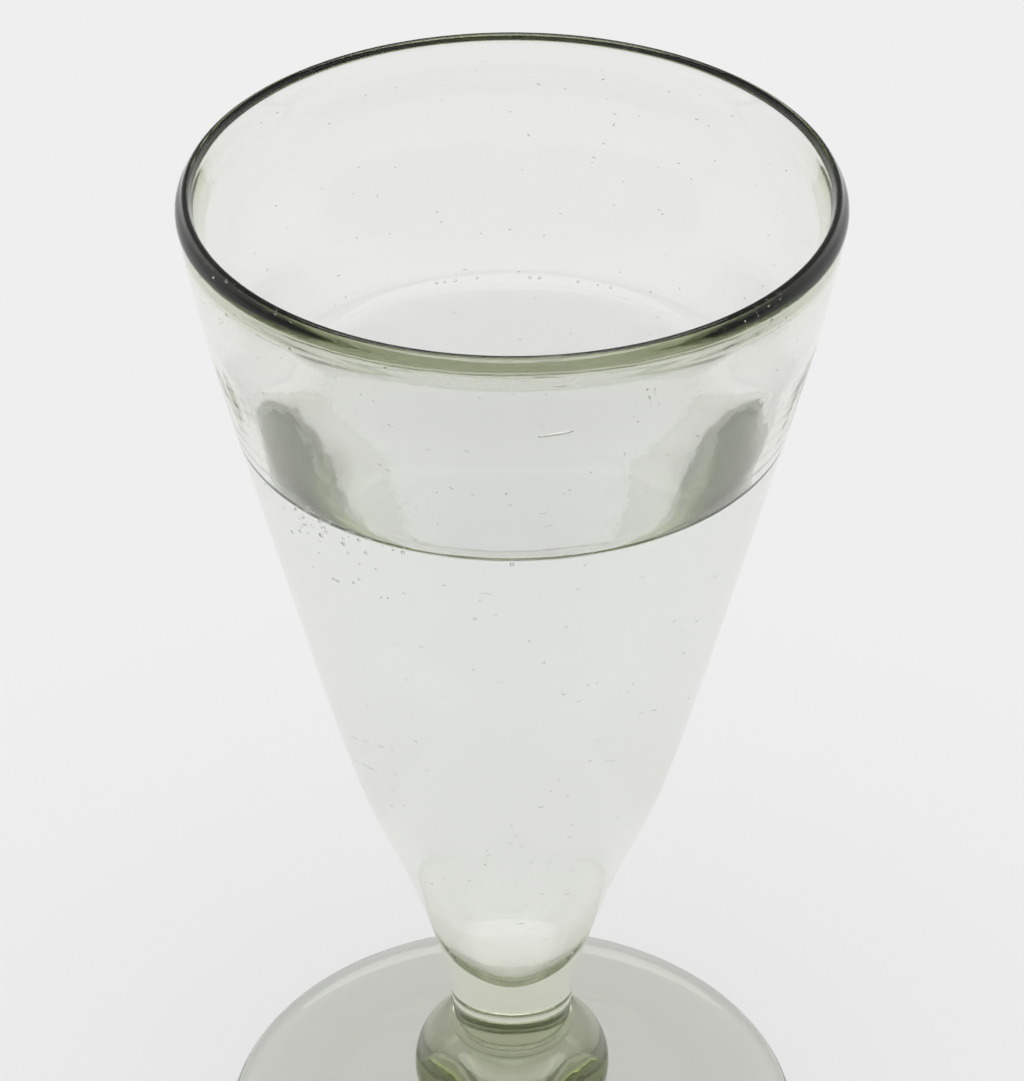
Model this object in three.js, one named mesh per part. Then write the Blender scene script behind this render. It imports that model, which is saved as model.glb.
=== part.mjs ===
// A hand-blown champagne glass in pale green glass. From the top it has a tall conical bowl with a tapered,
// fire-polished lip and a solid neck, a stem that is only a short rounded collar, a bun-shaped knop and a
// round foot. Each piece is a gather of hot glass that is stuck to the one above it, so the pieces meet face
// to face on flat seats.
// Millimetres, +Z up. The origin is the centre of the ring that the foot stands on.
import * as THREE from "three";

// How finely a circle and a curve are divided
const STEPS_AROUND = 64;
const STEPS_NECK_EDGE = 3;
const STEPS_OUTER_WALL = 18;
const STEPS_LIP_BEVEL = 5;
const STEPS_LIP_EDGE = 8;
const STEPS_LIP_INSIDE = 3;
const STEPS_LIP_BLEND = 4;
const STEPS_TIP = 7;
const STEPS_COLLAR = 8;
const STEPS_BUN = 8;
const STEPS_FOOT_EDGE = 6;
const STEPS_FOOT_TOP = 5;
const STEPS_KICK = 6;

// Foot: a disc spread on the marver, pushed up underneath so that it stands on a flat ring
const FOOT_RADIUS = 36.8;
const FOOT_EDGE_THICKNESS = 3.4;
const FOOT_BOSS_HEIGHT = 5.5;
const FOOT_BOSS_MARGIN = 0.8; // how far the boss reaches past the knop that stands on it
const FOOT_BOSS_SHARE = 0.45; // share of the boss's rise that the sweep keeps beside it
const FOOT_RING_WIDTH = 8; // flat ring that touches the table
const FOOT_SWEEP = 8; // how far out the boss eases into the disc
const KICK_HEIGHT = 1.6; // push-up at the centre of the underside
const PONTIL_RADIUS = 5.5; // scar where the iron was broken away
const PONTIL_PROUD = 0.5;
const PONTIL_CHAMFER = 0.7;

// Knop: one gather, squeezed to a bun
const KNOP_RADIUS = 12.5;
const KNOP_HEIGHT = 12.4;

// Stem: a thin rounded collar, a merese, between the knop and the bowl's neck
const STEM_RADIUS = 7.85;
const STEM_LENGTH = 2;
const STEM_SEAT_RADIUS = 6.8; // flat seats above and below it, with a groove around each

// Bowl: one blown bubble, drawn out at its base into a solid neck
const BOWL_HEIGHT = 121.1;
const NECK_RADIUS = 7.4;
const NECK_EDGE_HEIGHT = 0.6; // rounding of the neck's lower edge
const WALL_THICKNESS = 1.9;
const WALL_AT_SHOULDER = 2.7; // the wall grows towards the base
const SHOULDER_HEIGHT = 20.1; // above the bowl's seat, where the wall turns into the pointed tip
const NECK_SOLID = 9; // solid glass under the tip of the drink's space
const TIP_ROUNDING = 2; // half-width of the tip's blunt end
const TIP_SLOPE_LENGTH = 8.5; // how far the wall's slope is kept below the shoulder
const LEAST_STEP = 1; // no two points of the inner side lie closer than this in height

// Lip: thickest at a belly a little way down, from where both sides lean in to a small round edge
const RIM_RADIUS = 37.4; // at the ridge where the outer side starts to lean in
const LIP_BEVEL_DEPTH = 2.5; // from the top down to the ridge
const LIP_BEVEL_SWELL = 0.64; // how far the handle of the bevel's curve stands out from a straight bevel
const LIP_LEAN = 1.1; // how far the middle of the edge lies inside the ridge
const LIP_EDGE_RADIUS = 0.45;
const LIP_BELLY_DEPTH = 5;
const LIP_THICKNESS = 2.8; // at the belly
const LIP_BLEND = 10; // height over which the wall grows to the belly

// The bowl's outline from the neck's edge to the ridge of the lip: share of its rise and share of its flare
// from neck to rim. A short straight neck, then a bullet-shaped base that opens into a long, nearly
// straight cone.
const BOWL_OUTLINE = [
  [0, 0],
  [0.016, 0],
  [0.047, 0.015],
  [0.093, 0.057],
  [0.199, 0.185],
  [0.326, 0.374],
  [0.598, 0.652],
  [0.919, 0.947],
  [1, 1],
];

// Heights and radii that follow from the sizes above
const KNOP_SEAT = FOOT_BOSS_HEIGHT;
const STEM_SEAT = KNOP_SEAT + KNOP_HEIGHT;
const BOWL_SEAT = STEM_SEAT + STEM_LENGTH;
const BELLY_HEIGHT = BOWL_HEIGHT - LIP_BELLY_DEPTH;
const BLEND_HEIGHT = BELLY_HEIGHT - LIP_BLEND;
const FOOT_EDGE_RADIUS = FOOT_EDGE_THICKNESS / 2;
const KNOP_FLAT_RADIUS = NECK_RADIUS;
const FOOT_BOSS_RADIUS = KNOP_FLAT_RADIUS + FOOT_BOSS_MARGIN;

const point = (radius, height) => new THREE.Vector2(radius, height);

// An arc of an ellipse as profile points; angles in degrees from the outward direction.
function arc(centre, halfWidth, halfHeight, fromDegrees, toDegrees, steps) {
  const points = [];
  for (let i = 0; i <= steps; i += 1) {
    const angle = THREE.MathUtils.degToRad(THREE.MathUtils.lerp(fromDegrees, toDegrees, i / steps));
    points.push(point(centre.x + halfWidth * Math.cos(angle), centre.y + halfHeight * Math.sin(angle)));
  }
  return points;
}

// A piece turned about the vertical axis from a closed profile of radius and height, which runs outward
// along its underside, up its outer side and back to the axis over its top.
function turned(name, profile, material) {
  const geometry = new THREE.LatheGeometry(profile, STEPS_AROUND);
  geometry.rotateX(Math.PI / 2);
  const mesh = new THREE.Mesh(geometry, material);
  mesh.name = name;
  return mesh;
}

// Pale green glass; a thicker piece shows its green more strongly.
function greenGlass(color, opacity) {
  return new THREE.MeshStandardMaterial({ color, opacity, transparent: true, roughness: 0.03, metalness: 0 });
}

// Outer side of the bowl from its seat, around the neck's edge and up the cone to the ridge of the lip.
function bowlOuterSide() {
  const edgeCentre = point(STEM_SEAT_RADIUS, NECK_EDGE_HEIGHT);
  const neckEdge = arc(edgeCentre, NECK_RADIUS - STEM_SEAT_RADIUS, NECK_EDGE_HEIGHT, -90, 0, STEPS_NECK_EDGE);
  const rise = BOWL_HEIGHT - LIP_BEVEL_DEPTH - NECK_EDGE_HEIGHT;
  const flare = RIM_RADIUS - NECK_RADIUS;
  const stations = BOWL_OUTLINE.map(
    ([up, out]) => new THREE.Vector3(NECK_RADIUS + out * flare, NECK_EDGE_HEIGHT + up * rise, 0),
  );
  const curve = new THREE.CatmullRomCurve3(stations, false, "centripetal");
  const cone = curve.getSpacedPoints(STEPS_OUTER_WALL).map((p) => point(p.x, p.y));
  return [...neckEdge, ...cone.slice(1)];
}

// The lip over the outer side: it leans in from the ridge and turns over a small round edge.
function bowlLip() {
  const edgeCentre = point(RIM_RADIUS - LIP_LEAN, BOWL_HEIGHT - LIP_EDGE_RADIUS);
  const ridge = point(RIM_RADIUS, BOWL_HEIGHT - LIP_BEVEL_DEPTH);
  const bevelEnd = point(edgeCentre.x + LIP_EDGE_RADIUS, edgeCentre.y);
  const handle = ridge.clone().lerp(bevelEnd, 0.5).add(point(LIP_BEVEL_SWELL, 0));
  const bevel = new THREE.QuadraticBezierCurve(ridge, handle, bevelEnd).getPoints(STEPS_LIP_BEVEL);
  const edge = arc(edgeCentre, LIP_EDGE_RADIUS, LIP_EDGE_RADIUS, 0, 180, STEPS_LIP_EDGE);
  return [...bevel.slice(1), ...edge.slice(1)];
}

// Thickness of the wall at a height above the bowl's seat: thick at the shoulder, thin up the cone, and
// thicker again towards the lip's belly.
function wallThickness(height) {
  const lipShare = THREE.MathUtils.smoothstep(height, BLEND_HEIGHT, BELLY_HEIGHT);
  const coneShare = THREE.MathUtils.clamp(
    (height - SHOULDER_HEIGHT) / (BLEND_HEIGHT - SHOULDER_HEIGHT),
    0,
    1,
  );
  const plain = THREE.MathUtils.lerp(WALL_AT_SHOULDER, WALL_THICKNESS, Math.sqrt(coneShare));
  return THREE.MathUtils.lerp(plain, LIP_THICKNESS, lipShare);
}

// Radius of the outer side at a height, between the two outline points around it.
function outerRadiusAt(outerSide, height) {
  const above = outerSide.findIndex((p) => p.y >= height);
  const [low, high] = [outerSide[above - 1], outerSide[above]];
  return THREE.MathUtils.mapLinear(height, low.y, high.y, low.x, high.x);
}

// Inner side of the bowl from the lip's edge down to the shoulder. It runs straight to the belly, and from
// there it lies one wall inside the outer side.
function bowlInnerSide(outerSide, edgeEnd) {
  const heights = [BELLY_HEIGHT];
  for (let i = 1; i <= STEPS_LIP_BLEND; i += 1) {
    heights.push(BELLY_HEIGHT - (LIP_BLEND * i) / STEPS_LIP_BLEND);
  }
  outerSide
    .map((p) => p.y)
    .filter((height) => height < BLEND_HEIGHT - LEAST_STEP && height > SHOULDER_HEIGHT + LEAST_STEP)
    .reverse()
    .forEach((height) => heights.push(height));
  heights.push(SHOULDER_HEIGHT);
  const wall = heights.map((height) => point(outerRadiusAt(outerSide, height) - wallThickness(height), height));
  const inside = new THREE.LineCurve(edgeEnd, wall[0]).getPoints(STEPS_LIP_INSIDE);
  return [...inside.slice(1, -1), ...wall];
}

// The drink's space closes below the shoulder in a blunt point over the solid neck.
function bowlTip(innerSide) {
  const [before, shoulder] = innerSide.slice(-2);
  const slope = shoulder.clone().sub(before).setLength(TIP_SLOPE_LENGTH);
  const curve = new THREE.CubicBezierCurve(
    shoulder,
    shoulder.clone().add(slope),
    point(TIP_ROUNDING, NECK_SOLID),
    point(0, NECK_SOLID),
  );
  return curve.getPoints(STEPS_TIP).slice(1);
}

function makeBowl() {
  const outerSide = bowlOuterSide();
  const lip = bowlLip();
  const innerSide = bowlInnerSide(outerSide, lip[lip.length - 1]);
  const profile = [point(0, 0), ...outerSide, ...lip, ...innerSide, ...bowlTip(innerSide)];
  const bowl = turned("bowl", profile, greenGlass(0xdfe4dc, 0.35));
  bowl.position.z = BOWL_SEAT;
  return bowl;
}

function makeStem() {
  const halfLength = STEM_LENGTH / 2;
  const bulge = STEM_RADIUS - STEM_SEAT_RADIUS;
  const side = arc(point(STEM_SEAT_RADIUS, halfLength), bulge, halfLength, -90, 90, STEPS_COLLAR);
  const stem = turned("stem", [point(0, 0), ...side, point(0, STEM_LENGTH)], greenGlass(0xa7ad8b, 0.55));
  stem.position.z = STEM_SEAT;
  return stem;
}

function makeKnop() {
  const halfHeight = KNOP_HEIGHT / 2;
  const bulge = KNOP_RADIUS - KNOP_FLAT_RADIUS;
  const side = arc(point(KNOP_FLAT_RADIUS, halfHeight), bulge, halfHeight, -90, 90, STEPS_BUN);
  const knop = turned("knop", [point(0, 0), ...side, point(0, KNOP_HEIGHT)], greenGlass(0xa8ac95, 0.6));
  knop.position.z = KNOP_SEAT;
  return knop;
}

// Underside of the foot: the pontil scar, the push-up around it and the flat standing ring.
function footUnderside() {
  const ringInner = FOOT_RADIUS - FOOT_EDGE_RADIUS - FOOT_RING_WIDTH;
  const scarHeight = KICK_HEIGHT - PONTIL_PROUD;
  const points = [
    point(0, scarHeight),
    point(PONTIL_RADIUS - PONTIL_CHAMFER, scarHeight),
    point(PONTIL_RADIUS, KICK_HEIGHT),
  ];
  for (let i = 1; i <= STEPS_KICK; i += 1) {
    const share = i / STEPS_KICK;
    const radius = THREE.MathUtils.lerp(PONTIL_RADIUS, ringInner, share);
    points.push(point(radius, KICK_HEIGHT * (1 - share * share)));
  }
  return points;
}

function makeFoot() {
  const edgeCentre = point(FOOT_RADIUS - FOOT_EDGE_RADIUS, FOOT_EDGE_RADIUS);
  const edge = arc(edgeCentre, FOOT_EDGE_RADIUS, FOOT_EDGE_RADIUS, -90, 90, STEPS_FOOT_EDGE);
  const boss = point(FOOT_BOSS_RADIUS, FOOT_BOSS_HEIGHT);
  const discAtBoss = THREE.MathUtils.lerp(FOOT_EDGE_THICKNESS, FOOT_BOSS_HEIGHT, FOOT_BOSS_SHARE);
  const top = new THREE.QuadraticBezierCurve(
    edge[edge.length - 1],
    point(FOOT_BOSS_RADIUS + FOOT_SWEEP, discAtBoss),
    boss,
  );
  const profile = [
    ...footUnderside(),
    ...edge,
    ...top.getPoints(STEPS_FOOT_TOP).slice(1),
    point(0, FOOT_BOSS_HEIGHT),
  ];
  return turned("foot", profile, greenGlass(0xbfc1b8, 0.4));
}

const glass = new THREE.Group();
glass.name = "champagne_glass";
glass.add(makeBowl(), makeStem(), makeKnop(), makeFoot());

export default glass;
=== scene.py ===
# %% [markdown]
# A hand-blown champagne glass, filled nearly to the lip. The glass itself is four gathers of pale green
# glass stuck together hot: bowl, stem, knop and foot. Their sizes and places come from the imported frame, so
# this lesson only adds what the eye sees: true round surfaces, the green that deepens with thickness, the
# drink, the bubbles, and the light that makes a clear thing visible.

import math
import random

import bmesh
import bpy
from mathutils import Matrix, Vector, noise


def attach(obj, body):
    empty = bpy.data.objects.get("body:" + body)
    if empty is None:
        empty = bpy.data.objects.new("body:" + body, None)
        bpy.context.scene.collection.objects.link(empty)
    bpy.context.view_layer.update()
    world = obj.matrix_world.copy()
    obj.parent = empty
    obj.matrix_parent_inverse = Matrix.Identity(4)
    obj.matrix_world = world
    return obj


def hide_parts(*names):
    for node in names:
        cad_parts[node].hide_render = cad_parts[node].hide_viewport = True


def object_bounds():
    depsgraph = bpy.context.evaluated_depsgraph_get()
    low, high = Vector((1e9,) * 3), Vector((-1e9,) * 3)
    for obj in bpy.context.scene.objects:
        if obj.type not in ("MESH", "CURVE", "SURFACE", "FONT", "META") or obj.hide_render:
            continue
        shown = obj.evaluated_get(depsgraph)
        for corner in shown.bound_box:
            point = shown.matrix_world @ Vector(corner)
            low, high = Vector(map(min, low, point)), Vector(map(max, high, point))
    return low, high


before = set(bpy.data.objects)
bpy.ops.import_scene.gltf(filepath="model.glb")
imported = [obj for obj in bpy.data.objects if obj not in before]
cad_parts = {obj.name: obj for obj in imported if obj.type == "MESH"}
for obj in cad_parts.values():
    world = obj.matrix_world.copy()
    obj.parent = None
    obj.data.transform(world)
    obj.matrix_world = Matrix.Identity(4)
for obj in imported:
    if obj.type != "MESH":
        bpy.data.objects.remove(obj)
cad_low, cad_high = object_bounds()
MM = 0.001  # every length below is written in millimetres and turned to metres with this
glass_height = cad_high.z
print("frame box in mm:", [round(v / MM, 1) for v in (*cad_low, *cad_high)])

# %% [markdown]
# The camera comes first, because everything else is judged through it. The photograph looks down into the
# mouth at about 35 degrees from about 45 cm away, with a lens long enough to keep the foot nearly as wide as
# the rim. The focal length is written in pixels of the photograph's height, and turned into a lens for a
# 36 mm sensor whose long side is that height.

# %% Camera
PHOTO_HEIGHT_PX = 1081
FOCAL_PX = 4000
SENSOR_MM = 36
CAMERA_PITCH_DEGREES = 34.51
CAMERA_BACK_MM = 388.3
CAMERA_ABOVE_RIM_MM = 218.9

camera_data = bpy.data.cameras.new("camera")
camera_data.sensor_width = SENSOR_MM
camera_data.lens = SENSOR_MM * FOCAL_PX / PHOTO_HEIGHT_PX
camera = bpy.data.objects.new("camera", camera_data)
camera.location = (0, -CAMERA_BACK_MM * MM, glass_height + CAMERA_ABOVE_RIM_MM * MM)
camera.rotation_euler = (math.radians(90 - CAMERA_PITCH_DEGREES), 0, 0)
bpy.context.scene.collection.objects.link(camera)
bpy.context.scene.camera = camera
print("lens in mm:", round(camera_data.lens, 1))

# %% [markdown]
# Every piece of the glass is a body of revolution, as a gaffer makes it by turning the iron. So each can be
# rebuilt from its meridian, the line where a half-plane through the axis cuts it. The frame's node is
# faceted, but its corner points lie on the true form. This cell reads them in order, from the axis
# underneath, outward and over to the axis on top. The outlines could also be typed in again here, but then
# two places would hold the same sizes.

# %% Meridian of a frame node
ON_PLANE = 1e-6  # metres; what is closer than this touches
KEY_DIGITS = 6  # points that agree to a thousandth of a millimetre are one point


def meridian(node):
    """Outline of a turned node as (radius, height) points, from the axis underneath to the axis on top."""
    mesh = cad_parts[node].data
    key = [(round(v.co.x, KEY_DIGITS), round(v.co.z, KEY_DIGITS)) for v in mesh.vertices]
    on_plane = [abs(v.co.y) < ON_PLANE and v.co.x > -ON_PLANE for v in mesh.vertices]
    neighbours = {}
    for edge in mesh.edges:
        a, b = edge.vertices
        if on_plane[a] and on_plane[b] and key[a] != key[b]:
            neighbours.setdefault(key[a], set()).add(key[b])
            neighbours.setdefault(key[b], set()).add(key[a])
    point = min((p for p in neighbours if p[0] < ON_PLANE), key=lambda p: p[1])
    path = [point]
    while True:
        onward = [p for p in neighbours[point] if p not in path[-2:]]
        if not onward:
            return path
        point = onward[0]
        path.append(point)


outlines = {node: meridian(node) for node in ("bowl", "stem", "knop", "foot")}
for node, path in outlines.items():
    print(node, "outline of", len(path), "points")

# %% [markdown]
# Glass has no facets, so the points are joined by a smooth curve. A centripetal Catmull-Rom spline passes
# through every point and doesn't loop where a short step meets a long one, as at the lip. Where the outline
# turns sharply, and where a flat seat ends, the curve is broken, so that the edge stays crisp and the seat
# stays flat.

# %% Smooth an outline
CORNER_DEGREES = 60
STEP_MM = 0.8
TINY = 1e-9  # keeps a division safe where two points meet


def catmull_rom(p0, p1, p2, p3, share):
    """Point at a share of the way from p1 to p2 on the centripetal spline through four points."""
    t0 = 0.0
    t1 = t0 + max((p1 - p0).length, TINY) ** 0.5
    t2 = t1 + max((p2 - p1).length, TINY) ** 0.5
    t3 = t2 + max((p3 - p2).length, TINY) ** 0.5
    t = t1 + share * (t2 - t1)
    a1 = p0.lerp(p1, (t - t0) / (t1 - t0))
    a2 = p1.lerp(p2, (t - t1) / (t2 - t1))
    a3 = p2.lerp(p3, (t - t2) / (t3 - t2))
    b1 = a1.lerp(a2, (t - t0) / (t2 - t0))
    b2 = a2.lerp(a3, (t - t1) / (t3 - t1))
    return b1.lerp(b2, (t - t1) / (t2 - t1))


def smooth_run(points, step):
    """A smooth stretch of outline through the points, with a point about every step."""
    if len(points) < 3:
        return points
    first = points[0] * 2 - points[1]
    last = points[-1] * 2 - points[-2]
    if points[-1].x < ON_PLANE:  # the curve crosses the axis level, so the surface has no peak there
        last = Vector((-points[-2].x, points[-2].y))
    if points[0].x < ON_PLANE:
        first = Vector((-points[1].x, points[1].y))
    padded = [first, *points, last]
    made = [points[0]]
    for i in range(1, len(padded) - 2):
        count = max(1, math.ceil((padded[i + 1] - padded[i]).length / step))
        for k in range(1, count + 1):
            made.append(catmull_rom(*padded[i - 1 : i + 3], k / count))
    return made


def is_corner(points, i):
    """True where the outline turns sharply or a flat seat ends."""
    if i in (1, len(points) - 2) and abs(points[i].y - points[0 if i == 1 else -1].y) < ON_PLANE:
        return True
    return (points[i] - points[i - 1]).angle(points[i + 1] - points[i]) > math.radians(CORNER_DEGREES)


def smooth_outline(path, step=STEP_MM * MM):
    """The outline with its smooth stretches curved, its corners kept and nothing outside its own box."""
    points = [Vector(p) for p in path]
    made, run = [], [points[0]]
    for i in range(1, len(points)):
        run.append(points[i])
        if i == len(points) - 1 or is_corner(points, i):
            made += smooth_run(run, step)[1 if made else 0 :]
            run = [points[i]]
    widest, low, high = max(p.x for p in points), min(p.y for p in points), max(p.y for p in points)
    return [Vector((min(p.x, widest), min(max(p.y, low), high))) for p in made]


curves = {node: smooth_outline(path) for node, path in outlines.items()}
for node, curve in curves.items():
    print(node, "curve of", len(curve), "points")

# %% [markdown]
# A wine glass shaped by hand is never quite regular. The paddle and the jacks leave slow waves of a few
# hundredths of a millimetre in its walls, and they are what makes reflections and refracted edges ragged.
# Modelled waves are used here instead of bump, so that the inner and the outer skin wander by themselves
# and the mesh itself has them.

# %% Hand-made waves
WAVES_MM = ((9.0, 0.035), (3.2, 0.02))  # length and depth of the slow waves and of the ripples on them
WAVE_STRETCH = 0.6  # below 1 the waves are longer upward, as the hanging bubble is drawn out
WAVE_SHIFTS = (1, 2.3, 5.1)  # a seed moves the noise this many times itself along x, y and z


def wave(x, y, z, seed):
    """How far the surface wanders along the radius at a place, in metres."""
    shift = Vector([seed * times for times in WAVE_SHIFTS])
    place = Vector((x, y, z * WAVE_STRETCH))
    return sum(noise.noise(place / (length * MM) + shift) * depth * MM for length, depth in WAVES_MM)


# %% [markdown]
# The turning itself: the outline is swept around the axis as rings of quads, closed with a fan where it
# meets the axis. bmesh is used rather than the Screw modifier, because each ring can then wander with the
# waves, and the two ends close without doubled points. A gas bubble in glass or drink is a small hollow with
# its faces turned inward, so it is part of the same closed skin and light leaves the glass to cross it.

# %% Turn an outline into a mesh
STEPS_AROUND = 216
SHARP_DEGREES = 50
BALL_DETAIL = 2

ball = bmesh.new()
bmesh.ops.create_icosphere(ball, subdivisions=BALL_DETAIL, radius=0.5)  # one unit wide, to be scaled
BALL_POINTS = [vert.co.copy() for vert in ball.verts]
BALL_FACES = [[vert.index for vert in face.verts] for face in ball.faces]
ball.free()


def hollow(bm, angle, radius, height, sizes, tilt=0.0):
    """A small bubble; the angle is in degrees from the front.

    Sizes are its width around the glass, its depth into the wall and its height."""
    middle = Matrix.Translation((0, -radius, height))
    stand = middle @ Matrix.Rotation(tilt, 4, "Y") @ Matrix.Diagonal((*sizes, 1))
    place = Matrix.Rotation(math.radians(angle), 4, "Z") @ stand
    verts = [bm.verts.new(place @ point) for point in BALL_POINTS]
    for corners in BALL_FACES:
        bm.faces.new([verts[i] for i in reversed(corners)])


def turn(name, curve, wander=None, seats=(), bubbles=()):
    """A closed mesh from an outline of (radius, height); wander(index, x, y, z) moves a point outward.

    Flat faces inside a seat's radius get 1 in the face attribute "seat"."""
    bm = bmesh.new()
    rings = []
    for index, (radius, height) in enumerate(curve):
        if radius < ON_PLANE:
            rings.append([bm.verts.new((0, 0, height))])
            continue
        ring = []
        for k in range(STEPS_AROUND):
            angle = 2 * math.pi * k / STEPS_AROUND
            x, y = radius * math.cos(angle), radius * math.sin(angle)
            outward = 1 + (wander(index, x, y, height) / radius if wander else 0)
            ring.append(bm.verts.new((x * outward, y * outward, height)))
        rings.append(ring)
    for low, high in zip(rings, rings[1:]):
        for k in range(STEPS_AROUND):
            n = (k + 1) % STEPS_AROUND
            corners = [low[k % len(low)], low[n % len(low)], high[n % len(high)], high[k % len(high)]]
            bm.faces.new(list(dict.fromkeys(corners)))
    for bubble in bubbles:
        hollow(bm, *bubble)
    mesh = bpy.data.meshes.new(name)
    bm.to_mesh(mesh)
    bm.free()
    mesh.shade_smooth()
    mesh.set_sharp_from_angle(angle=math.radians(SHARP_DEGREES))
    flags = mesh.attributes.new("seat", "FLOAT", "FACE").data
    for face, flag in zip(mesh.polygons, flags):
        x, y, z = face.center
        flag.value = any(abs(z - height) < ON_PLANE and math.hypot(x, y) < reach for height, reach in seats)
    piece = bpy.data.objects.new(name, mesh)
    bpy.context.scene.collection.objects.link(piece)
    return piece


# %% [markdown]
# Colours are written as they look on a screen and turned to the linear values that light adds up in. Nodes
# are added by one small function, so that a material reads as a list of what goes into what.

# %% Colour and node helpers
def linear(hex_colour):
    """An sRGB hex colour as the linear red, green and blue that shaders use."""
    channels = [int(hex_colour[i : i + 2], 16) / 255 for i in (1, 3, 5)]
    return [c / 12.92 if c <= 0.04045 else ((c + 0.055) / 1.055) ** 2.4 for c in channels]


def add_node(tree, kind, links=(), **settings):
    """Adds a node, sets its inputs by name and links (output socket, input name) pairs into it."""
    node = tree.nodes.new(kind)
    for name, value in settings.items():
        node.inputs[name.replace("_", " ")].default_value = value
    for socket, name in links:
        tree.links.new(socket, node.inputs[name])
    return node


def new_material(name):
    """An empty material with its tree and output node."""
    material = bpy.data.materials.new(name)
    material.use_nodes = True
    material.node_tree.nodes.clear()
    return material, material.node_tree, material.node_tree.nodes.new("ShaderNodeOutputMaterial")


def fade(tree, value, start, end, low, high):
    """A value that passes softly from low to high while its input goes from start to end."""
    borders = {"From_Min": start, "From_Max": end, "To_Min": low, "To_Max": high}
    passage = add_node(tree, "ShaderNodeMapRange", [(value, "Value")], **borders)
    passage.interpolation_type = "SMOOTHSTEP"
    return passage.outputs["Result"]


# %% [markdown]
# Green glass. The batch is soda-lime glass with a little iron in it, which is why a thin wall looks clear
# and a thick knop looks green. That is absorption: light loses a share of itself for each millimetre that it
# travels inside. So the surface stays white and perfectly clear, and the colour is in the volume. The skin
# itself is fire-polished: it mirrors sharply, but the tools and the cooling leave it with a very faint orange
# peel, which is too fine to model and so is a bump.

# %% Green glass
GLASS_IOR = 1.52
GLASS_TINT = "#A8B26C"  # what is left of white after one density length
BLOWN_DENSITY = 36.0  # per metre
SOLID_DENSITY = 50.0  # the bits for stem, knop and foot look greener than their thickness alone explains
PEEL_MM = 1.6  # from one dimple of the orange peel to the next
PEEL_DEPTH_MM = 0.005
PEEL_DETAIL = 2.0  # finer octaves of noise on the dimples


def peel(tree, spacing, depth):
    """Fine unevenness of a skin, as a bump; spacing and depth in mm."""
    where = tree.nodes.new("ShaderNodeTexCoord").outputs["Object"]
    scale = 1 / (spacing * MM)
    dimples = add_node(tree, "ShaderNodeTexNoise", [(where, "Vector")], Scale=scale, Detail=PEEL_DETAIL)
    height = dimples.outputs["Fac"]
    bump = add_node(tree, "ShaderNodeBump", [(height, "Height")], Strength=1.0, Distance=depth * MM)
    return bump.outputs["Normal"]


def clear_body(name, ior, tint, density, peel_spacing, peel_depth):
    """A clear material with a polished, faintly uneven skin and a tint that deepens with thickness.

    Returns it with its tree, its skin and its output node, whose surface is still open."""
    material, tree, output = new_material(name)
    skin = add_node(
        tree,
        "ShaderNodeBsdfPrincipled",
        [(peel(tree, peel_spacing, peel_depth), "Normal")],
        Base_Color=(1, 1, 1, 1),
        Roughness=0.0,
        IOR=ior,
        Transmission_Weight=1.0,
    )
    inside = add_node(tree, "ShaderNodeVolumeAbsorption", Color=(*linear(tint), 1), Density=density)
    tree.links.new(inside.outputs["Volume"], output.inputs["Volume"])
    return material, tree, skin, output


def green_glass(name, density, peel_depth):
    """Glass of the batch; its seat faces let light straight through."""
    material, tree, skin, output = clear_body(name, GLASS_IOR, GLASS_TINT, density, PEEL_MM, peel_depth)
    seat = tree.nodes.new("ShaderNodeAttribute")
    seat.attribute_name = "seat"
    through = tree.nodes.new("ShaderNodeBsdfTransparent")
    surface = add_node(tree, "ShaderNodeMixShader", [(seat.outputs["Fac"], "Fac")])
    tree.links.new(skin.outputs["BSDF"], surface.inputs[1])
    tree.links.new(through.outputs["BSDF"], surface.inputs[2])
    tree.links.new(surface.outputs["Shader"], output.inputs["Surface"])
    return material


blown_glass = green_glass("blown_green_glass", BLOWN_DENSITY, PEEL_DEPTH_MM)
solid_glass = green_glass("solid_green_glass", SOLID_DENSITY, PEEL_DEPTH_MM * 2)  # pressed with a block
for glass in (blown_glass, solid_glass):
    print(glass.name, "has", len(glass.node_tree.nodes), "nodes")

# %% [markdown]
# Seeds. Glass that is melted in a small pot keeps gas bubbles of a few tenths of a millimetre, and blowing
# draws them out along the wall. They are strewn at random through the middle of the wall, with a fixed seed
# so that the glass is the same each time. A noise texture couldn't do it, because the eye sees them bend
# light inside the wall, with a bright and a dark side.

# %% Seeds in the wall
RANDOM_SEED = 16
SEED_COUNT = 420
SEED_TOP_MM = 137.5  # height of the highest one
SEED_FALL_MM = 98.0  # from there down to the lowest one
SEED_CROWDING = 1.4  # above 1, more of them are high up, where the wall is blown wide
SEED_TILT = (0.2, 0.5)  # radians, middle and spread
SEED_LENGTH_MM = (0.15, 0.6)
SEED_WIDTH_MM = (0.08, 0.16)
DRAWN_SEEDS = (  # angle in degrees, height, length and width in mm, tilt in radians
    (7.8, 137.4, 1.4, 0.18, 0.05),
    (7.4, 130.8, 4.0, 0.32, -0.12),
    (5.6, 119.3, 0.9, 0.11, -0.1),
    (7.0, 117.3, 0.9, 0.11, -0.2),
    (-21.2, 130.6, 0.7, 0.14, 0.3),
    (-34.7, 120.4, 0.6, 0.16, 0.7),
)

bowl_curve = curves["bowl"]
lip_index = max(range(len(bowl_curve)), key=lambda i: bowl_curve[i].y)
outer_side, inner_side = bowl_curve[: lip_index + 1], bowl_curve[lip_index:]


def radius_at(side, height):
    """Radius of one side of the bowl's outline at a height."""
    for a, b in zip(side, side[1:]):
        low, high = sorted((a, b), key=lambda p: p.y)
        if low.y <= height <= high.y:
            return low.x + (high.x - low.x) * (height - low.y) / max(high.y - low.y, TINY)
    return 0.0


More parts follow.
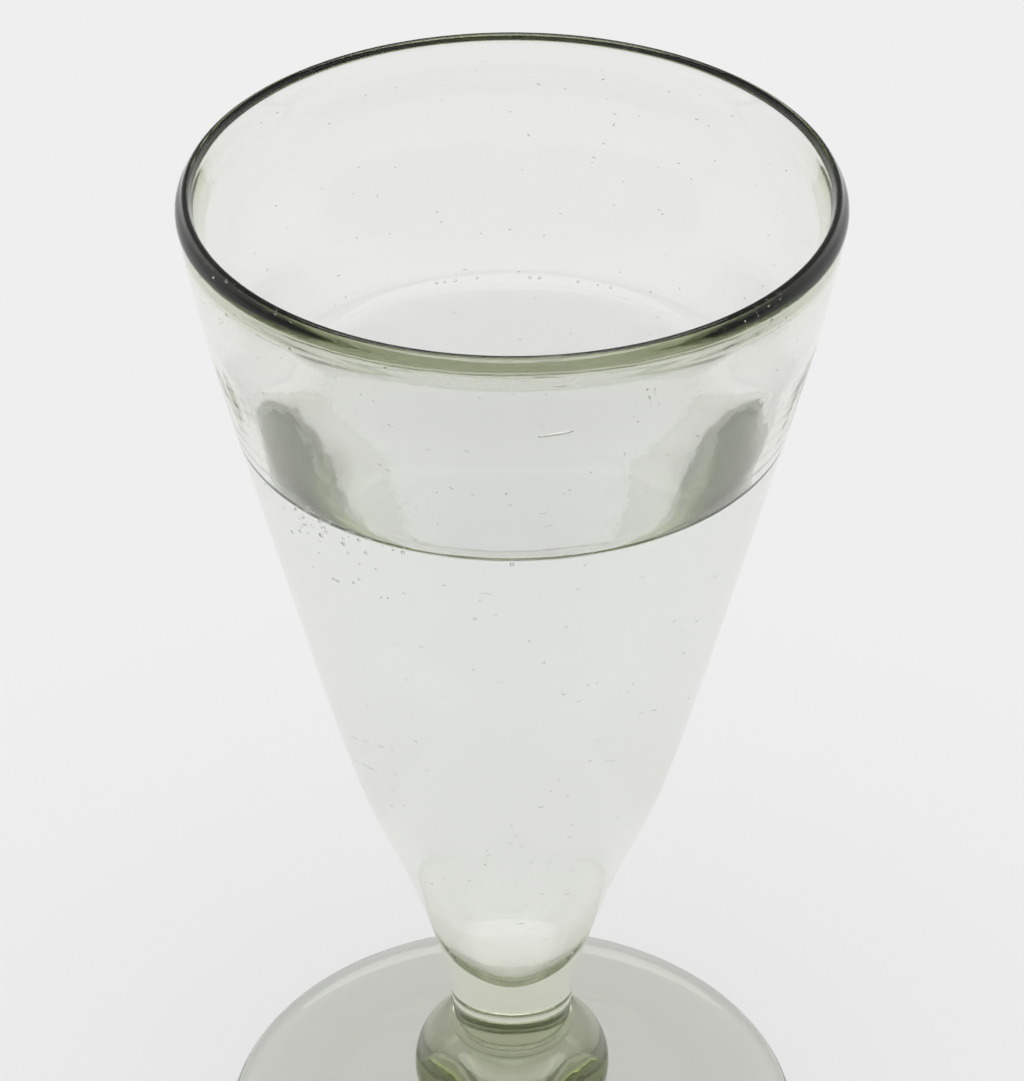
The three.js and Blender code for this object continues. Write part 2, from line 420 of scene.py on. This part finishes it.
def seed_at(angle, height, length, width, tilt):
    """A seed in the middle of the wall; angle in degrees, sizes in mm."""
    middle = (radius_at(outer_side, height * MM) + radius_at(inner_side, height * MM)) / 2
    return angle, middle, height * MM, (length * MM, width * MM, width * MM), tilt


pot = random.Random(RANDOM_SEED)
seeds = [seed_at(*seed) for seed in DRAWN_SEEDS]
for _ in range(SEED_COUNT):
    height = SEED_TOP_MM - SEED_FALL_MM * pot.random() ** SEED_CROWDING
    length, width = pot.uniform(*SEED_LENGTH_MM), pot.uniform(*SEED_WIDTH_MM)
    seeds.append(seed_at(pot.uniform(-180, 180), height, length, width, pot.gauss(*SEED_TILT)))
print(len(seeds), "seeds in the wall")

# %% [markdown]
# The four pieces of glass. Each is turned from its own outline. At the seats the real pieces are fused, so
# there is nothing between them that could bend or mirror light: each solid reaches a hair into its
# neighbour, and its seat face lets light straight through. Left as glass, the seats would mirror the room
# at a flat angle and put a dark ring into the stem.

# %% Turn the glass pieces
FUSED_MM = 0.02
SEAT_CALM_MM = 4.0  # the waves grow to their full depth over this height above the bowl's seat
LIP_CALM_MM = 12.0  # and calm down over this height under the lip
LIP_CALM = 0.25  # share of the waves that the last fire leaves at the lip
OUTER_WAVES = 1.7  # seeds of the noise, so that the two skins wander by themselves
INNER_WAVES = 8.4

seat_height = bowl_curve[0].y
widest = max(p.x for p in bowl_curve)


def fused(curve, below, above):
    """The outline with its flat seats pushed a hair into the neighbour below or above."""
    low, high = curve[0].y, curve[-1].y
    moved = []
    for p in curve:
        at_low = below and abs(p.y - low) < ON_PLANE
        at_high = above and abs(p.y - high) < ON_PLANE
        moved.append(Vector((p.x, p.y - FUSED_MM * MM * at_low + FUSED_MM * MM * at_high)))
    return moved


def dress(piece, node, material):
    """Gives a piece its material, hides the frame node that it stands in for and hangs the piece under the
    root body.
    """
    piece.data.materials.append(material)
    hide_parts(node)
    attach(piece, "root")
    print(piece.name, "has", len(piece.data.polygons), "faces")


def bowl_wander(index, x, y, z):
    """Waves that die out at the seat, calm down at the lip and never push the bowl past its widest line."""
    from_lip = min(1.0, (glass_height - z) / (LIP_CALM_MM * MM))
    calm = min(1.0, (z - seat_height) / (SEAT_CALM_MM * MM), LIP_CALM + (1 - LIP_CALM) * from_lip**2)
    skin = OUTER_WAVES if index <= lip_index else INNER_WAVES
    return min(wave(x, y, z, skin) * calm, widest - math.hypot(x, y))


def seat_on(lower, upper):
    """Gives both outlines a point where their common seat ends, and returns the seat's radius."""
    reach = min(lower[-2].x, upper[1].x)
    if lower[-2].x > reach:
        lower.insert(-1, Vector((reach, lower[-1].y)))
    if upper[1].x > reach:
        upper.insert(1, Vector((reach, upper[0].y)))
    return reach


def turn_piece(name, node, material, low_reach, high_reach, push, wander=None, bubbles=()):
    """Turns and dresses a piece whose seats have the given radii; a radius of 0 is no seat.

    The seats named in push reach a hair into the neighbour."""
    curve = fused(curves[node], "low" in push, "high" in push)
    seats = [(curve[0].y, low_reach), (curve[-1].y, high_reach)]
    dress(turn(name, curve, wander, [seat for seat in seats if seat[1]], bubbles), node, material)


foot_reach = seat_on(curves["foot"], curves["knop"])
knop_reach = seat_on(curves["knop"], curves["stem"])
stem_reach = seat_on(curves["stem"], curves["bowl"])
turn_piece("blown_bowl", "bowl", blown_glass, stem_reach, 0, ["low"], bowl_wander, seeds)
turn_piece("collar_stem", "stem", solid_glass, knop_reach, stem_reach, [])
turn_piece("bun_knop", "knop", solid_glass, foot_reach, knop_reach, ["high"])
turn_piece("spread_foot", "foot", solid_glass, 0, foot_reach, ["high"])

# %% [markdown]
# The drink fills the bowl. Water and glass touch without air between them, so the drink's side lies a hair
# inside the wall. Its top is level, and climbs the wall in a small curve, the meniscus, which shows as the
# dark line at the drink's edge. A meniscus dies away with the distance from the wall, over a few millimetres.

# %% Drink
WATER_BELOW_RIM_MM = 30.5
MENISCUS_RISE_MM = 1.6
MENISCUS_WIDTH_MM = 5.0
MENISCUS_DECAY_MM = 1.2
MENISCUS_STEPS = 18
MENISCUS_CROWDING = 1.5  # above 1, the points crowd toward the wall, where the curve is steep
AXIS_SHARES = (0.75, 0.5, 0.25, 0)  # where the level part has its points, as shares of its radius

water_height = glass_height - WATER_BELOW_RIM_MM * MM
wet_top = water_height + MENISCUS_RISE_MM * MM


def drink_curve():
    """Outline of the drink, and how many of its points lie on the wall.

    It goes up the wetted wall, down the meniscus and level in to the axis."""
    overlap = FUSED_MM * MM
    wall = [Vector((p.x + overlap * (p.x > ON_PLANE), p.y)) for p in reversed(inner_side) if p.y < wet_top]
    wall[0].y -= overlap
    edge = radius_at(inner_side, wet_top) + overlap
    made = [*wall, Vector((edge, wet_top))]
    left = math.exp(-MENISCUS_WIDTH_MM / MENISCUS_DECAY_MM)  # taken off, so that the curve ends level
    for k in range(1, MENISCUS_STEPS + 1):
        inward = MENISCUS_WIDTH_MM * (k / MENISCUS_STEPS) ** MENISCUS_CROWDING
        rise = MENISCUS_RISE_MM * (math.exp(-inward / MENISCUS_DECAY_MM) - left) / (1 - left)
        made.append(Vector((edge - inward * MM, water_height + rise * MM)))
    flat_from = made[-1].x
    for share in AXIS_SHARES:
        made.append(Vector((flat_from * share, water_height)))
    return made, len(wall)


drink_outline, wetted_points = drink_curve()


def drink_wander(index, x, y, z):
    """The drink's side follows the waves of the wall; its top is level."""
    return bowl_wander(lip_index + 1, x, y, z) if index <= wetted_points else 0.0


# %% [markdown]
# Fizz. Sparkling wine in a handmade glass clings to it in bubbles of about half a millimetre: a cluster
# under the waterline at the left, where the wall is rough, a row along the waterline at the back, and a few
# lone ones lower down. Each sits in the drink a hair off the wall.

# %% Fizz
FIZZ_CLUSTER = 46
FIZZ_MM = (0.18, 0.5)
FIZZ_GAP_MM = 0.08  # of drink between a bubble and the wall
CLUSTER_DEGREES = (-43, 9)  # middle and spread around the glass
CLUSTER_START_MM = 0.6  # below the drink's edge
CLUSTER_DEPTH_MM = 2.6  # mean distance below that start
CLUSTER_DEEPEST_MM = 9.0
BACK_ROW_MM = (0.3, 0.45)
BACK_ROW_BELOW_EDGE_MM = 0.75
BACK_ROW_DEGREES = (162, 164, 166.5, 171.8, -175.8, -173.5, -164.3, -159.4, -156.2)
LONE_FIZZ = (  # angle in degrees, height and size in mm
    (-8.3, 102.0, 0.4),
    (7.7, 94.7, 0.35),
    (0.0, 111.0, 0.55),
    (-44.4, 108.9, 0.65),
    (-23.0, 111.0, 0.5),
)


def fizz_at(angle, height, size):
    """A bubble on the drink's side; angle in degrees, height and size in mm."""
    reach = radius_at(inner_side, height * MM) - (size / 2 + FIZZ_GAP_MM) * MM
    return angle, reach, height * MM, (size * MM, size * MM, size * MM)


edge_mm = wet_top / MM
fizz = [fizz_at(*bubble) for bubble in LONE_FIZZ]
for angle in BACK_ROW_DEGREES:
    fizz.append(fizz_at(-angle, edge_mm - BACK_ROW_BELOW_EDGE_MM, pot.uniform(*BACK_ROW_MM)))
for _ in range(FIZZ_CLUSTER):
    size = pot.uniform(*FIZZ_MM)
    fall = min(pot.expovariate(1 / CLUSTER_DEPTH_MM), CLUSTER_DEEPEST_MM)
    height = edge_mm - CLUSTER_START_MM - size / 2 - fall
    fizz.append(fizz_at(pot.gauss(*CLUSTER_DEGREES), height, size))
print(len(fizz), "bubbles in the drink")

# %% [markdown]
# The drink is as clear as water. In five centimetres of it water takes a trace of red out of the light, and
# the mist of gas too fine to see takes a little of every colour. Its top is never quite still: rising bubbles
# keep it trembling.

# %% Clear drink
DRINK_IOR = 1.333
DRINK_TINT = "#AAC4E7"  # what is left of white after one density length
DRINK_DENSITY = 1.0  # per metre
TREMBLE_MM = 7.0
TREMBLE_DEPTH_MM = 0.006

clear_drink, tree, skin, output = clear_body(
    "clear_drink", DRINK_IOR, DRINK_TINT, DRINK_DENSITY, TREMBLE_MM, TREMBLE_DEPTH_MM
)
tree.links.new(skin.outputs["BSDF"], output.inputs["Surface"])
drink = turn("drink", drink_outline, drink_wander, bubbles=fizz)
drink.data.materials.append(clear_drink)
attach(drink, "root")
print("drink surface at", round(water_height / MM, 1), "mm")

# %% [markdown]
# The set is a pale floor in soft light from overhead. On top of the light that the floor throws back, it
# glows
# with painted light of its own: an emission from a floor that is no lamp, which washes out the shadow of the
# glass so that almost no shadow shows. The painted glow sinks in front of the glass, on the camera's side, as
# painted shade: there the glass mirrors a dimmer floor, and so its walls look a shade darker than the
# backdrop that is seen past them. The sheet lies a hair under the foot, because a foot on a table has air
# under it almost everywhere.

# %% Floor
FLOOR_COLOUR = "#A0A0A0"  # how much of the overhead light the sheet throws back
PAINTED_FLOOR_GLOW = 0.49  # painted light: an emission of the floor itself, with no lamp under it
GLOW_FULL_FROM_MM = -45  # the painted glow is full behind this line and sinks in front of it, as painted shade on the camera's side
GLOW_LOW_FROM_MM = -220
GLOW_LOW_SHARE = 0.2
FLOOR_RADIUS_MM = 4000
FLOOR_SIDES = 96
FLOOR_GAP_MM = 0.04

bm = bmesh.new()
bmesh.ops.create_circle(bm, cap_ends=True, segments=FLOOR_SIDES, radius=FLOOR_RADIUS_MM * MM)
floor_mesh = bpy.data.meshes.new("floor")
bm.to_mesh(floor_mesh)
bm.free()
floor = bpy.data.objects.new("floor", floor_mesh)
floor.location.z = -FLOOR_GAP_MM * MM
bpy.context.scene.collection.objects.link(floor)
floor_material, tree, output = new_material("pale_floor")
sheet = add_node(tree, "ShaderNodeBsdfDiffuse", Color=(*linear(FLOOR_COLOUR), 1))
spot = tree.nodes.new("ShaderNodeNewGeometry")
across = add_node(tree, "ShaderNodeSeparateXYZ", [(spot.outputs["Position"], "Vector")])
# The floor's glow is painted light, an emission from a floor that is no lamp. It sinks toward the camera as
# painted shade, so that the glass walls mirror a darker floor.
start, end = GLOW_LOW_FROM_MM * MM, GLOW_FULL_FROM_MM * MM
painted_glow_strength = fade(tree, across.outputs["Y"], start, end, PAINTED_FLOOR_GLOW * GLOW_LOW_SHARE, PAINTED_FLOOR_GLOW)
glow = add_node(tree, "ShaderNodeEmission", [(painted_glow_strength, "Strength")])
both = tree.nodes.new("ShaderNodeAddShader")
tree.links.new(sheet.outputs["BSDF"], both.inputs[0])
tree.links.new(glow.outputs["Emission"], both.inputs[1])
tree.links.new(both.outputs["Shader"], output.inputs["Surface"])
floor_mesh.materials.append(floor_material)
print("floor glow:", PAINTED_FLOOR_GLOW, "sinking to", round(PAINTED_FLOOR_GLOW * GLOW_LOW_SHARE, 3), "in front")

# %% [markdown]
# The light is a wide soft source overhead, made with a sun of a large angle, because that lights the floor
# as evenly as a big diffuser does. A clear glass shows only by what it bends toward the eye. If all of that
# were as pale as the floor, the glass would vanish. So the room is a background that passes softly from pale
# near the horizon to darker above it, and the lip and the drink's edge pick up that dark.

# %% Light and room
LIGHT_STRENGTH = 2.2
LIGHT_SPREAD_DEGREES = 70
ROOM_LOW = 0.75  # brightness near the horizon
ROOM_HIGH = 0.34  # and above
ROOM_FADE = (0.12, 0.35)  # heights of a direction, as shares of its length, between which it darkens

overhead_data = bpy.data.lights.new("overhead", "SUN")
overhead_data.energy = LIGHT_STRENGTH
overhead_data.angle = math.radians(LIGHT_SPREAD_DEGREES)
overhead = bpy.data.objects.new("overhead", overhead_data)
bpy.context.scene.collection.objects.link(overhead)

room = bpy.data.worlds.new("room")
room.use_nodes = True
bpy.context.scene.world = room
tree = room.node_tree
tree.nodes.clear()
direction = tree.nodes.new("ShaderNodeTexCoord")
split = add_node(tree, "ShaderNodeSeparateXYZ", [(direction.outputs["Generated"], "Vector")])
room_strength = fade(tree, split.outputs["Z"], *ROOM_FADE, ROOM_LOW, ROOM_HIGH)
sky = add_node(tree, "ShaderNodeBackground", [(room_strength, "Strength")], Color=(1, 1, 1, 1))
world_output = tree.nodes.new("ShaderNodeOutputWorld")
tree.links.new(sky.outputs["Background"], world_output.inputs["Surface"])
print("light", LIGHT_STRENGTH, "over", LIGHT_SPREAD_DEGREES, "degrees; room", ROOM_LOW, "to", ROOM_HIGH)

# %% [markdown]
# Light that enters the lip runs down inside the wall and is thrown from skin to skin dozens of times, as in
# a light guide, before it gets out. Cut short, it would leave the lip black, so paths may be long. The plain
# tone curve is chosen because the photograph's pale backdrop is to keep its own grey.

# %% Light paths and tone
LONGEST_PATH = 96
scene = bpy.context.scene
scene.cycles.max_bounces = LONGEST_PATH
scene.cycles.transmission_bounces = LONGEST_PATH
scene.cycles.glossy_bounces = LONGEST_PATH
scene.cycles.transparent_max_bounces = LONGEST_PATH
scene.view_settings.view_transform = "Standard"
print("longest light path:", LONGEST_PATH, "bounces")
